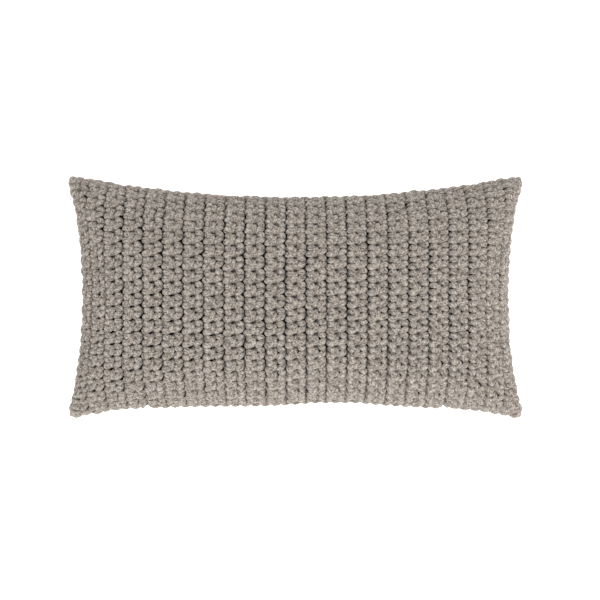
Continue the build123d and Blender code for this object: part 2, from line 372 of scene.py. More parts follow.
def smooth_line(points, cuts):
    """A line through the points, with cuts new points in each gap (Catmull-Rom)."""
    padded = np.concatenate([2 * points[:1] - points[1:2], points, 2 * points[-1:] - points[-2:-1]])
    a, b, c, d = padded[:-3], padded[1:-2], padded[2:-1], padded[3:]
    made = []
    for k in range(cuts):
        w = k / cuts
        made.append(
            0.5 * (2 * b + (c - a) * w + (2 * a - 5 * b + 4 * c - d) * w**2 + (3 * b - a - 3 * c + d) * w**3)
        )
    line = np.stack(made, axis=1).reshape(-1, points.shape[1])
    return np.concatenate([line, points[-1:]])


def new_yarn_bmesh():
    """An empty bmesh with the layers that strands fill."""
    bm = bmesh.new()
    bm.loops.layers.uv.new("yarn")
    bm.verts.layers.float.new("run")
    bm.verts.layers.float.new("painted_depth_shade")
    return bm


def add_strand(bm, line, up, radius, painted_depth_shade, offset, sides=SIDES, flat=1.0):
    """Adds a closed tube to bm. line, up, radius and sunk have one entry per ring."""
    rings = len(line)
    ahead = np.gradient(line, axis=0)
    ahead /= np.linalg.norm(ahead, axis=1, keepdims=True)
    beside = np.cross(ahead, up)
    beside /= np.maximum(np.linalg.norm(beside, axis=1, keepdims=True), 1e-9)
    above = np.cross(beside, ahead)
    run = offset + np.concatenate([[0], np.cumsum(np.linalg.norm(np.diff(line, axis=0), axis=1))])
    angle = np.linspace(0, 2 * np.pi, sides + 1)[:, None, None]
    place = line + radius[:, None] * (np.cos(angle) * beside + flat * np.sin(angle) * above)
    verts = bmesh.ops.create_grid(bm, x_segments=rings - 1, y_segments=sides, size=1, calc_uvs=True)["verts"]
    run_layer, painted_shade_layer = bm.verts.layers.float["run"], bm.verts.layers.float["painted_depth_shade"]
    for k, v in enumerate(verts):
        j, i = divmod(k, rings)
        v.co = place[j, i]
        v[run_layer] = run[i]
        v[painted_shade_layer] = painted_depth_shade[i]
    mouths = [v for k, v in enumerate(verts) if k % rings in (0, rings - 1)]
    bmesh.ops.remove_doubles(bm, verts=verts[:rings] + verts[-rings:], dist=1e-7)
    edges = {e for v in mouths if v.is_valid for e in v.link_edges if e.is_boundary}
    bmesh.ops.holes_fill(bm, edges=list(edges), sides=0)


def yarn_object(name, bm):
    """Ends a bmesh of strands as a smooth object, with each loop's UV along the yarn in metres."""
    o = link_mesh(name, bm)
    data = o.data
    corner = np.zeros(len(data.loops), np.int32)
    data.loops.foreach_get("vertex_index", corner)
    run = np.zeros(len(data.vertices), np.float32)
    data.attributes["run"].data.foreach_get("value", run)
    uv = np.zeros(len(data.loops) * 2, np.float32)
    data.uv_layers["yarn"].data.foreach_get("uv", uv)
    uv = uv.reshape(-1, 2)
    uv[:, 0] = run[corner]
    data.uv_layers["yarn"].data.foreach_set("uv", uv.ravel())
    data.shade_smooth()
    triangles = sum(len(f.vertices) - 2 for f in data.polygons)
    print(name, triangles, "triangles")
    return o


print("yarn is", 2000 * YARN_RADIUS, "mm wide and", round(2000 * YARN_RADIUS * SQUASHED, 1), "mm thick")

# %% [markdown]
# ## The stitch
# The cover is worked in bands. Down the middle of a band runs a chain: one loop after another comes up
# out of a hole and goes down into the next. On the chain's left a strand goes out to the groove between
# two bands and back, once for every loop. On its right a strand goes out as a short bar and comes back
# slanting down. One stitch is written down once for each of the three strands, as knots of (across the
# band, down the band, height in millimetres, share of the yarn's thickness), and is repeated down the
# band. The strands only look worked together: they run through each other where they cross, and don't
# interlock as real crochet does.

# %% One stitch, as three strands
BANDS = ACROSS_BANDS
ROWS = 20.5
MM = 0.001

CHAIN = [
    (0.465, -0.08, -12.8, 0.64),
    (0.475, 0.09, -13.2, 0.64),
    (0.487, 0.195, -10.0, 0.76),
    (0.493, 0.27, -6.8, 0.88),
    (0.495, 0.37, -5.1, 0.94),
    (0.487, 0.51, -4.5, 0.95),
    (0.465, 0.64, -4.6, 0.92),
    (0.45, 0.735, -6.2, 0.82),
    (0.445, 0.80, -9.8, 0.70),
]
LEFT_LOOP = [
    (0.50, 0.42, -11.5, 0.75),
    (0.39, 0.33, -7.4, 0.88),
    (0.305, 0.27, -5.1, 1.06),
    (0.225, 0.255, -4.9, 1.1),
    (0.172, 0.238, -7.2, 0.92),
    (0.147, 0.32, -11.4, 0.78),
    (0.125, 0.50, -12.6, 0.72),
    (0.11, 0.655, -10.9, 0.77),
    (0.117, 0.737, -7.1, 0.96),
    (0.165, 0.775, -4.8, 1.12),
    (0.265, 0.785, -4.8, 1.12),
    (0.345, 0.775, -6.6, 0.94),
    (0.40, 0.78, -11.0, 0.75),
    (0.50, 1.12, -14.0, 0.7),
]
RIGHT_LOOP = [
    (0.615, 0.02, -12.5, 0.75),
    (0.685, 0.05, -8.0, 0.85),
    (0.755, 0.075, -5.4, 0.95),
    (0.83, 0.095, -4.4, 1.0),
    (0.877, 0.12, -6.9, 0.91),
    (0.897, 0.24, -11.2, 0.78),
    (0.892, 0.36, -10.9, 0.78),
    (0.875, 0.46, -7.3, 0.92),
    (0.835, 0.535, -5.0, 1.04),
    (0.76, 0.61, -4.7, 1.07),
    (0.69, 0.69, -5.1, 1.03),
    (0.635, 0.77, -7.4, 0.9),
    (0.60, 0.87, -11.8, 0.75),
]


def worked(knots, rng, cuts, rows, start):
    """The knots repeated down a band, a little uneven, as a smooth line of (u, v, height, thickness)."""
    base = np.array(knots)
    whole = []
    for r in range(int(math.floor(start)) - 1, int(math.ceil(start + rows)) + 1):
        shift = np.array([rng.normal(0, 0.012), rng.normal(0, 0.02), rng.normal(0, 0.22), 0])
        grow = np.array([1, 1, 1, rng.normal(1, 0.035)])
        loose = rng.normal(0, 1, base.shape) * np.array([0.008, 0.012, 0.15, 0.02])
        whole.append((base + [0, r, 0, 0]) * grow + shift + loose)
    line = smooth_line(np.concatenate(whole), cuts)
    v = (line[:, 1] - start) / rows
    return line[(v > 0.004) & (v < 0.996)]


START = 0.0
DEEPEST = -13.2
# Depths in millimetres over which yarn is painted darker, as painted shade inside the fabric.
PAINTED_SHADE_FROM, PAINTED_SHADE_OVER = 7.0, 5.0
MOUTH = 0.0068


def kept_off_zip(place, radius, way):
    """Moves yarn out of the zip's mouth, and to the outside of its tapes."""
    near = place[:, 1] < tape_high.y + 2 * YARN_RADIUS
    least = (MOUTH + radius) * by_mouth(place[:, 0])
    height = way * (place[:, 2] - SEAM_Z)
    place[:, 2] = np.where(near, SEAM_Z + way * np.maximum(height, least), place[:, 2])
    by_tape = np.abs(place[:, 0]) < tape_high.x + YARN_RADIUS
    over = near & by_tape & (np.abs(place[:, 2] - SEAM_Z) < ZIP_REACH)
    place[:, 1] = np.where(over, np.minimum(place[:, 1], tape_low.y - 0.8 * YARN_RADIUS), place[:, 1])


def crochet(name, knots, bag, rise, cuts, seed, mirrored):
    """One kind of strand, worked down every band of a panel."""
    rng = np.random.default_rng(seed)
    bm = new_yarn_bmesh()
    for band in range(BANDS):
        line = worked(knots, rng, cuts, ROWS, START)
        s = (band + line[:, 0]) / BANDS
        t = (line[:, 1] - START) / ROWS
        base = bag_point(bag, 1 - s if mirrored else s, t)
        out = outward(base, rise)
        h = np.maximum(line[:, 2], DEEPEST) * MM
        place = base + out * h[:, None]
        kept_off_zip(place, YARN_RADIUS * line[:, 3], math.copysign(1, rise))
        up = out / np.linalg.norm(out, axis=1, keepdims=True)
        # Painted shade: how much darker this yarn is painted, from how deep it lies in the fabric.
        painted_depth_shade = np.clip((-line[:, 2] - PAINTED_SHADE_FROM) / PAINTED_SHADE_OVER, 0, 1)
        add_strand(bm, place, up, YARN_RADIUS * line[:, 3], painted_depth_shade, rng.uniform(0, 40), flat=SQUASHED)
    return yarn_object(name, bm)


front_chain = crochet("crochet_front_chain", CHAIN, front_bag, CROWN, 2, 11, False)
front_left = crochet("crochet_front_left", LEFT_LOOP, front_bag, CROWN, 2, 12, False)
front_right = crochet("crochet_front_right", RIGHT_LOOP, front_bag, CROWN, 2, 13, False)
back_chain = crochet("crochet_back_chain", CHAIN, back_bag, -BELLY, 2, 21, True)
back_left = crochet("crochet_back_left", LEFT_LOOP, back_bag, -BELLY, 2, 22, True)
back_right = crochet("crochet_back_right", RIGHT_LOOP, back_bag, -BELLY, 2, 23, True)
CROCHET = {
    "crochet_front": (front_chain, front_left, front_right),
    "crochet_back": (back_chain, back_left, back_right),
}
for node, made in CROCHET.items():
    for o in made:
        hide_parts(node)
        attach(o, COVER)

# %% [markdown]
# ## The edge
# The panels are joined by two yarns that twist round each other along the seam, from one end of the zip
# right round to the other. From straight above they show as a light rope round the pillow; that light is
# painted, as a paler copy of the yarn's colour, for the rim light from the white surroundings. Along the
# zip each panel has a finished edge of its own, a yarn that runs along the lip.

# %% Winding the seam, and finishing the two lips
def along_evenly(line, count):
    """The line's points, moved to lie at even distances, and the line's length."""
    run = np.concatenate([[0], np.cumsum(np.linalg.norm(np.diff(line, axis=0), axis=1))])
    even = np.linspace(0, run[-1], count)
    return np.stack([np.interp(even, run, line[:, k]) for k in range(3)], axis=1), run[-1]


def seam_path(front, back, gap):
    """Points along the seam, from the zip's +X end round by the far edge to its -X end."""
    near = (front[:, 0] + back[:, 0]) / 2
    start, end = near[near[:, 0] > gap], near[near[:, 0] < -gap]
    return np.concatenate([start, front[-1, 1:], front[-2::-1, -1], front[0, -2:0:-1], end])


def softened(line, reach):
    """The line with its corners rounded over reach points to each side."""
    kernel = np.hanning(2 * reach + 3)[1:-1]
    kernel /= kernel.sum()
    padded = np.pad(line, ((reach, reach), (0, 0)), mode="edge")
    return np.stack([np.convolve(padded[:, k], kernel, mode="valid") for k in range(3)], axis=1)


def unit(vectors):
    return vectors / np.maximum(np.linalg.norm(vectors, axis=1, keepdims=True), 1e-9)


UPWARD = np.array([0.0, 0.0, 1.0])
ROPE_PITCH = 0.0285
ROPE_INSET = 0.0044
ROPE_RADIUS = 0.0024
ROPE_YARN = 0.0030
ROPE_RINGS = 14
ROPE_WANDER = 0.0016
ZIP_END = SLOT_END + SLOT_FADE / 2

seam = seam_path(front_bag, back_bag, ZIP_END)
turns = round(along_evenly(seam, 10)[1] / ROPE_PITCH)
seam, seam_length = along_evenly(seam, turns * ROPE_RINGS + 1)
seam = softened(seam, 6)
inward = unit(np.cross(UPWARD, np.gradient(seam, axis=0)))
rng = np.random.default_rng(30)
bm = new_yarn_bmesh()
for ply in (0, np.pi):
    turn = (np.linspace(0, turns * 2 * np.pi, len(seam)) + ply)[:, None]
    wander = softened(rng.normal(0, ROPE_WANDER, (len(seam), 3)), 5)
    round_it = UPWARD * ROPE_RADIUS * np.sin(turn) - inward * ROPE_RADIUS * np.cos(turn)
    spin = seam + wander + inward * ROPE_INSET + round_it
    add_strand(bm, spin, -inward, np.full(len(spin), ROPE_YARN), np.zeros(len(spin)), 3.0 + ply)
seam_rope = yarn_object("seam_rope", bm)
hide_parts("seam_yarn")
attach(seam_rope, COVER)
print("the seam yarns twist", turns, "times in", round(seam_length, 3), "m")

LIP_TURN = 0.0145
LIP_YARN = 0.0035
LIP_SWAY = 0.0012
LIP_BACK, LIP_RISE = 0.003, 0.001


def lip(name, bag, way, node, seed):
    """The finished edge of one panel along the zip: a yarn that sways a little along the lip."""
    rng = np.random.default_rng(seed)
    x = np.arange(-ZIP_END, ZIP_END, LIP_TURN / 8)
    edge = bag[:, 0]
    before_tapes = tape_low.y - LIP_YARN - LIP_SWAY
    y = np.minimum(np.interp(x, edge[:, 0], edge[:, 1]) + LIP_BACK, before_tapes)
    z = np.interp(x, edge[:, 0], edge[:, 2]) + way * LIP_RISE
    phase = 2 * np.pi * x / LIP_TURN
    line = np.stack([x, y - LIP_SWAY * np.cos(phase), z + LIP_SWAY * np.sin(phase)], axis=1)
    bm = new_yarn_bmesh()
    up = np.tile([0.0, -1.0, 0.0], (len(x), 1))
    add_strand(bm, line, up, np.full(len(x), LIP_YARN), np.zeros(len(x)), rng.uniform(0, 40))
    o = yarn_object(name, bm)
    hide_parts(node)
    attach(o, COVER)
    return o


front_lip = lip("crochet_front_lip", front_bag, 1, "crochet_front", 31)
back_lip = lip("crochet_back_lip", back_bag, -1, "crochet_back", 32)
CROCHET["edges"] = (seam_rope, front_lip, back_lip)

# %% [markdown]
# ## Under the crochet
# The lining is a plain woven bag, and the insert is a second one inside it, stuffed full. They have the
# cover's shape, taken in by the layers outside them. Each half is a closed sheet of cloth: a grid given
# its thickness. The lining is cut open behind the zip, and the insert isn't.

# %% Lining and insert
def taken_in(bag, rise, depth):
    """The bag's grid, smaller all round by depth."""
    middle = np.array([0, 0, SEAM_Z])
    scale = np.array([1 - depth / HALF_LENGTH, 1 - depth / HALF_WIDTH, 1 - depth / abs(rise)])
    return middle + (bag - middle) * scale


def flat_sheet(points, turned=False):
    """A bmesh sheet of cloth on a grid of points, with its UV map in metres."""
    bm = grid_bmesh(points)
    if turned:
        bmesh.ops.reverse_faces(bm, faces=bm.faces)
    uv = bm.loops.layers.uv.new("weave")
    across = float(np.linalg.norm(np.diff(points, axis=0), axis=2).sum(0).mean())
    down = float(np.linalg.norm(np.diff(points, axis=1), axis=2).sum(1).mean())
    nx, ny = points.shape[:2]
    place = {v: key for v, key in zip(bm.verts, grid_keys(nx, ny))}
    for f in bm.faces:
        for loop in f.loops:
            i, j = place[loop.vert]
            loop[uv].uv = (across * i / (nx - 1), down * j / (ny - 1))
    return bm


def sheet_object(name, bm, thick, node):
    """Gives a sheet its thickness and puts it in the place of a CAD node."""
    bm.normal_update()
    bmesh.ops.solidify(bm, geom=bm.faces, thickness=thick)
    bmesh.ops.recalc_face_normals(bm, faces=bm.faces)
    o = link_mesh(name, bm)
    o.data.shade_smooth()
    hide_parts(node)
    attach(o, COVER)
    return o


CUT_END = tape_high.x - 0.002


def cut_for_zip(bm):
    """Cuts the part of a lining panel that lies behind the zip."""
    top = tape_high.z - SEAM_Z + 0.001
    for place, way in (
        ((CUT_END, 0, 0), (1, 0, 0)),
        ((-CUT_END, 0, 0), (1, 0, 0)),
        ((0, 0, SEAM_Z + top), (0, 0, 1)),
        ((0, 0, SEAM_Z - top), (0, 0, 1)),
    ):
        every = bm.verts[:] + bm.edges[:] + bm.faces[:]
        bmesh.ops.bisect_plane(bm, geom=every, plane_co=place, plane_no=way)
    gone = []
    for f in bm.faces:
        c = f.calc_center_median()
        if c.y < 0 and abs(c.x) < CUT_END and abs(c.z - SEAM_Z) < top:
            gone.append(f)
    bmesh.ops.delete(bm, geom=gone, context="FACES")


LINING_DEPTH, LINING_THICK = 0.0168, 0.0009
TICKING_DEPTH, TICKING_THICK = 0.0195, 0.0007

SHEETS = {}
PANELS = (
    ("front", front_bag, front_whole, CROWN),
    ("back", back_bag, back_whole, -BELLY),
)
for side, bag, whole, rise in PANELS:
    lining, insert = "lining_" + side, "insert_" + side
    bm = flat_sheet(taken_in(bag, rise, LINING_DEPTH), rise < 0)
    cut_for_zip(bm)
    SHEETS[lining] = sheet_object(lining + "_cloth", bm, LINING_THICK, lining)
    bm = flat_sheet(taken_in(whole, rise, TICKING_DEPTH), rise < 0)
    SHEETS[insert] = sheet_object("ticking_" + side, bm, TICKING_THICK, insert)
for o in SHEETS.values():
    print(o.name, len(o.data.polygons), "faces")

# %% [markdown]
# The seams of the lining and of the insert are sewn with ordinary thread. A running stitch shows as short
# dashes, with a dip between each two, so one strand with a dip at each stitch's end makes the whole seam.

# %% Thread
STITCH = 0.003
THREAD_RINGS = (0.0, 0.12, 0.5, 0.88)
THREAD_RISE = (-0.7, 0.6, 1.0, 0.6)


def running_stitch(name, line, outwards, radius, node, stitch=STITCH):
    """Thread sewn along a line, which shows on the side that outwards points to."""
    length = along_evenly(line, 2)[1]
    count = round(length / stitch)
    share = np.concatenate([(k + np.array(THREAD_RINGS)) / count for k in range(count)])
    fine, _ = along_evenly(line, 4 * count + 1)
    at = share * (len(fine) - 1)
    place = np.stack([np.interp(at, np.arange(len(fine)), fine[:, k]) for k in range(3)], axis=1)
    out = outwards(place)
    place = place + out * (np.tile(THREAD_RISE, count) * radius)[:, None]
    bm = new_yarn_bmesh()
    add_strand(bm, place, out, np.full(len(place), radius), np.zeros(len(place)), 0.0, sides=4)
    o = yarn_object(name, bm)
    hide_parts(node)
    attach(o, COVER)
    return o


def from_middle(points):
    return unit(points * np.array([1.0, 1.0, 0.0]))


def from_zip(points):
    return np.tile([0.0, -1.0, 0.0], (len(points), 1))


SEAM_THREAD = 0.0004
lining_halves = taken_in(front_bag, CROWN, LINING_DEPTH), taken_in(back_bag, -BELLY, LINING_DEPTH)
lining_seam = seam_path(*lining_halves, ZIP_END)
insert_halves = taken_in(front_whole, CROWN, TICKING_DEPTH), taken_in(back_whole, -BELLY, TICKING_DEPTH)
insert_seam = seam_path(*insert_halves, 0.0)
THREADS = [
    running_stitch("lining_seam_thread", lining_seam, from_middle, SEAM_THREAD, "lining_thread"),
    running_stitch("insert_seam_thread", insert_seam, from_middle, SEAM_THREAD, "insert_thread"),
]

# %% [markdown]
# The filling is loose fibre, blown in. It fills the insert, and its clumps press against the ticking as
# lumps.

# %% Filling
FILLING_DEPTH = 0.0215
LUMP_SIZE = 0.035
LUMP_DEPTH = 0.0022
bm = grid_bmesh(taken_in(front_whole, CROWN, FILLING_DEPTH))
half = bpy.data.meshes.new("filling_half")
back_half = grid_bmesh(taken_in(back_whole, -BELLY, FILLING_DEPTH))
bmesh.ops.reverse_faces(back_half, faces=back_half.faces)
back_half.to_mesh(half)
back_half.free()
bm.from_mesh(half)
bpy.data.meshes.remove(half)
bmesh.ops.remove_doubles(bm, verts=bm.verts, dist=1e-5)
bmesh.ops.recalc_face_normals(bm, faces=bm.faces)
middle = Vector((0, 0, SEAM_Z))
for v in bm.verts:
    lump = noise.noise(v.co / LUMP_SIZE) + 0.5 * noise.noise(v.co * 2.3 / LUMP_SIZE)
    v.co += (middle - v.co).normalized() * LUMP_DEPTH * (0.5 + 0.5 * max(-1.0, min(1.0, lump)))
filling = link_mesh("fibre_filling", bm)
filling.data.shade_smooth()
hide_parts("insert_filling")
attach(filling, COVER)
print("filling", len(filling.data.polygons), "faces")

# %% [markdown]
# ## The zip
# A coil zip has two woven tapes. On each tape's edge a nylon wire is wound into a flat coil. The heads of
# the two coils reach past each other and lock. Each coil is one long strand along a flattened helix, and
# the second coil is half a turn behind the first, so that the heads alternate. The slider, the pull tab
# and the stops are the CAD model's own solids, with their edges eased.

# %% Tapes, coils and their stitching
COIL_PITCH = 0.0013
COIL_WIRE = 0.00027
COIL_RINGS = 10
HEAD_REACH = 0.0006
TAPE_SHARE = 0.8
TAPE_WAVE, TAPE_WAVE_LENGTH = 0.00012, 0.0041


def flat_helix(name, node, way, behind):
    """One coil of the zip. behind is how far it lags, in turns."""
    low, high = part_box(node)
    turns = int((high.x - low.x) / COIL_PITCH) - 1
    angle = np.linspace(0, 2 * np.pi * turns, turns * COIL_RINGS + 1)
    outer = high.z if way > 0 else low.z
    inner = SEAM_Z - way * HEAD_REACH
    half_width = abs(outer - inner) / 2 - COIL_WIRE
    half_depth = (high.y - low.y) / 2 - COIL_WIRE
    x = low.x + COIL_WIRE + COIL_PITCH * (angle / (2 * np.pi) + behind)
    y = (low.y + high.y) / 2 + half_depth * np.sin(angle)
    z = (outer + inner) / 2 - way * half_width * np.cos(angle)
    line = np.stack([x, y, z], axis=1)
    bm = new_yarn_bmesh()
    up = np.tile([1.0, 0.0, 0.0], (len(line), 1))
    add_strand(bm, line, up, np.full(len(line), COIL_WIRE), np.zeros(len(line)), 0.0, sides=6)
    o = yarn_object(name, bm)
    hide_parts(node)
    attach(o, COVER)
    return o


def tape(name, node):
    """One woven tape, a little wavy between its straight edges."""
    low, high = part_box(node)
    thick = (high.y - low.y) * TAPE_SHARE
    along, across = np.linspace(low.x, high.x, 161), np.linspace(low.z, high.z, 7)
    x, z = np.meshgrid(along, across, indexing="ij")
    inside = (z - low.z) * (high.z - z) / (high.z - low.z) ** 2 * 4
    z = z + TAPE_WAVE * np.sin(x / TAPE_WAVE_LENGTH) * inside
    points = np.stack([x, np.full_like(x, (low.y + high.y) / 2), z], axis=-1)
    o = sheet_object(name, flat_sheet(points), thick, node)
    y = [v.co.y for v in o.data.vertices]
    o.data.transform(Matrix.Translation((0, (low.y + high.y) / 2 - (min(y) + max(y)) / 2, 0)))
    return o


COILS = [
    flat_helix("coil_upper", "zip_coil_upper", 1, 0.0),
    flat_helix("coil_lower", "zip_coil_lower", -1, 0.5),
]
TAPES = [tape("woven_tape_upper", "zip_tape_upper"), tape("woven_tape_lower", "zip_tape_lower")]
for side in ("upper", "lower"):
    low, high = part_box("zip_stitching_" + side)
    z = (low.z + high.z) / 2
    line = np.array([[low.x, high.y, z], [high.x, high.y, z]])
    radius = (high.z - low.z) / 2
    node = "zip_stitching_" + side
    THREADS.append(running_stitch("zip_thread_" + side, line, from_zip, radius, node))

METAL = ["zip_slider", "zip_pull_tab", "zip_top_stops", "zip_bottom_stop"]
EASED = 0.00018
for node in METAL:
    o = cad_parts[node]
    weld = o.modifiers.new("weld", "WELD")
    weld.merge_threshold = 1e-6
    ease = o.modifiers.new("ease", "BEVEL")
    ease.width = EASED
    ease.segments = 2
    ease.limit_method = "ANGLE"
    ease.angle_limit = math.radians(35)

# %% [markdown]
# ## Finishes
# Five patterns do all the work, each a node group that gives a colour and a height: heather yarn, plain
# weave, loose fibre, nylon and painted metal. A material feeds the group its colours and puts the result
# in its shader. The first cell has short helpers for building the groups.

# %% Helpers for node groups
class Pattern:
    """A shader node group that is being built, with its sockets."""

    def __init__(self, name, colours=(), values=()):
        self.group = bpy.data.node_groups.new(name, "ShaderNodeTree")
        new_socket = self.group.interface.new_socket
        new_socket(name="Vector", in_out="INPUT", socket_type="NodeSocketVector")
        for socket, value in colours:
            made = new_socket(name=socket, in_out="INPUT", socket_type="NodeSocketColor")
            made.default_value = (*value, 1)
        for socket, value in values:
            made = new_socket(name=socket, in_out="INPUT", socket_type="NodeSocketFloat")
            made.default_value = value
        new_socket(name="Color", in_out="OUTPUT", socket_type="NodeSocketColor")
        new_socket(name="Height", in_out="OUTPUT", socket_type="NodeSocketFloat")
        self.nodes, self.links = self.group.nodes, self.group.links
        self.given = self.nodes.new("NodeGroupInput").outputs
        self.out = self.nodes.new("NodeGroupOutput").inputs

    def join(self, value, socket):
        if hasattr(value, "is_output"):
            self.links.new(value, socket)
        else:
            socket.default_value = value

    def maths(self, kind, a, b=None, c=None):
        m = self.nodes.new("ShaderNodeMath")
        m.operation = kind
        for value, socket in zip((a, b, c), m.inputs):
            if value is not None:
                self.join(value, socket)
        return m.outputs[0]

    def apart(self, vector):
        parts = self.nodes.new("ShaderNodeSeparateXYZ")
        self.links.new(vector, parts.inputs[0])
        return parts.outputs

    def together(self, x, y, z=0.0):
        made = self.nodes.new("ShaderNodeCombineXYZ")
        for value, socket in zip((x, y, z), made.inputs):
            self.join(value, socket)
        return made.outputs[0]

    def cloud(self, vector, scale, detail=2.0, rough=0.5):
        """Soft noise, from about 0.3 to 0.7."""
        made = self.nodes.new("ShaderNodeTexNoise")
        self.links.new(vector, made.inputs["Vector"])
        made.inputs["Scale"].default_value = scale
        made.inputs["Detail"].default_value = detail
        made.inputs["Roughness"].default_value = rough
        return made.outputs[0]

    def between(self, value, low, high):
        """0 below low, 1 above high, and a straight line between."""
        made = self.nodes.new("ShaderNodeMapRange")
        self.links.new(value, made.inputs["Value"])
        made.inputs["From Min"].default_value = low
        made.inputs["From Max"].default_value = high
        return made.outputs[0]

    def mixed(self, share, a, b):
        made = self.nodes.new("ShaderNodeMix")
        made.data_type = "RGBA"
        self.links.new(share, made.inputs["Factor"])
        self.links.new(a, made.inputs["A"])
        self.links.new(b, made.inputs["B"])
        return made.outputs["Result"]

    def shaded(self, colour, scale):
        made = self.nodes.new("ShaderNodeVectorMath")
        made.operation = "SCALE"
        self.links.new(colour, made.inputs[0])
        self.links.new(scale, made.inputs["Scale"])
        return made.outputs[0]

    def end(self, colour, height):
        self.links.new(colour, self.out["Color"])
        self.links.new(height, self.out["Height"])
        return self.group


# %% [markdown]
# Heather yarn is spun from light and dark fibres that were dyed apart and mixed. The fibres run along the
# strand and turn with its twist, so the noise is stretched along the yarn's own UV map. A few pale flecks
# are undyed fibres. Little light reaches yarn that dips into the fabric, so the shade there is painted:
# each strand carries a value per ring, set by how deep it lies, that paints deeper yarn darker.

# %% Heather yarn
TWIST = 750.0
FIBRE_SHIFT = 60.0


def heather_yarn():
    p = Pattern(
        "heather_yarn",
        colours=(("Light", (0.5, 0.45, 0.41)), ("Dark", (0.2, 0.17, 0.15)), ("Fleck", (0.8, 0.76, 0.7))),
        values=(("Grain", 480.0), ("Twist", TWIST)),
    )
    along, around, _ = p.apart(p.given["Vector"])
    around = p.maths("MULTIPLY", around, 2 * math.pi)
    turn = p.maths("ADD", p.maths("MULTIPLY", along, p.given["Twist"]), around)
    ply = p.maths("ABSOLUTE", p.maths("SINE", p.maths("MULTIPLY", turn, 1.5)))
    slant = p.maths("ADD", around, p.maths("MULTIPLY", along, FIBRE_SHIFT))
    side = p.maths("MULTIPLY", p.maths("COSINE", slant), 2.5)
    other = p.maths("MULTIPLY", p.maths("SINE", slant), 2.5)
    fibre_at = p.together(p.maths("MULTIPLY", along, p.given["Grain"]), side, other)
    fibre = p.cloud(fibre_at, 1.0, 3.0, 0.6)
    hair_side, hair_other = p.maths("MULTIPLY", side, 6.0), p.maths("MULTIPLY", other, 6.0)
    hair = p.cloud(p.together(p.maths("MULTIPLY", along, 190.0), hair_side, hair_other), 1.0, 2.0, 0.6)
    colour = p.mixed(p.between(fibre, 0.4, 0.58), p.given["Dark"], p.given["Light"])
    flecks = p.between(p.cloud(fibre_at, 2.3), 0.62, 0.74)
    colour = p.mixed(flecks, colour, p.given["Fleck"])
    # Painted shade: each strand's depth value darkens the colour by up to 72 percent.
    painted_depth_shade = p.nodes.new("ShaderNodeAttribute")
    painted_depth_shade.attribute_name = "painted_depth_shade"
    lit = p.maths("SUBTRACT", 1.0, p.maths("MULTIPLY", painted_depth_shade.outputs["Fac"], 0.72))
    # Painted shade: the colour is darker where the ply and fine fibre patterns make the bump low, in the
    # grooves between plies and fibres; the fibre pattern is also the fibres' own tone.
    shade = p.maths("MULTIPLY", lit, p.maths("MULTIPLY_ADD", ply, 0.3, 0.7))
    shade = p.maths("MULTIPLY", shade, p.maths("MULTIPLY_ADD", hair, 1.4, 0.3))
    height = p.maths("MULTIPLY_ADD", hair, 1.0, p.maths("MULTIPLY", ply, 0.7))
    return p.end(p.shaded(colour, shade), height)


HEATHER = heather_yarn()


def finish(
    name, group, source, colours, rough, bump, depth,
    sheen=0.0, metallic=0.0, specular=0.3, values=(),
):
    """A material with a pattern's colour and height. source is a UV map's name, or None for Object."""
    m, n, l, shader = plain_material(name)
    g = n.new("ShaderNodeGroup")
    g.node_tree = group
    if source:
        where = n.new("ShaderNodeUVMap")
        where.uv_map = source
        l.new(where.outputs[0], g.inputs["Vector"])
    else:
        l.new(n.new("ShaderNodeTexCoord").outputs["Object"], g.inputs["Vector"])
    for socket, colour in colours.items():
        g.inputs[socket].default_value = (*colour, 1)
    for socket, value in dict(values).items():
        g.inputs[socket].default_value = value
    l.new(g.outputs["Color"], shader.inputs["Base Color"])
    relief = n.new("ShaderNodeBump")
    relief.inputs["Strength"].default_value = bump
    relief.inputs["Distance"].default_value = depth
    l.new(g.outputs["Height"], relief.inputs["Height"])
    l.new(relief.outputs[0], shader.inputs["Normal"])
    shader.inputs["Roughness"].default_value = rough
    shader.inputs["Sheen Weight"].default_value = sheen
    shader.inputs["Sheen Roughness"].default_value = 0.5
    shader.inputs["Metallic"].default_value = metallic
    shader.inputs["Specular IOR Level"].default_value = specular
    return m


def dress(pieces, material):
    for o in pieces:
        o.data.materials.clear()
        o.data.materials.append(material)


taupe_yarn = finish(
    "taupe_heather_yarn", HEATHER, "yarn",
    {"Light": (0.635, 0.565, 0.5), "Dark": (0.18, 0.147, 0.118), "Fleck": (0.86, 0.83, 0.77)},
    rough=0.95, bump=0.7, depth=0.0006, sheen=0.3, specular=0.08,
)
# Painted rim light: the seam yarn is a paler copy of the cover's yarn, for the light the white surroundings
# throw on the pillow's edge.
seam_finish = finish(
    "seam_yarn_painted_rim_light", HEATHER, "yarn",
    {"Light": (0.7, 0.635, 0.57), "Dark": (0.25, 0.21, 0.175), "Fleck": (0.88, 0.86, 0.8)},
    rough=0.95, bump=0.7, depth=0.0006, sheen=0.3, specular=0.08,
)
dress([o for made in CROCHET.values() for o in made], taupe_yarn)
dress([seam_rope], seam_finish)

# %% [markdown]
# In a plain weave each thread goes over one and under the next, so the cloth is a checkerboard of short
# thread humps. Which direction is on top decides both the colour and the height. Slubs, where the thread
# is thicker, run along single threads.

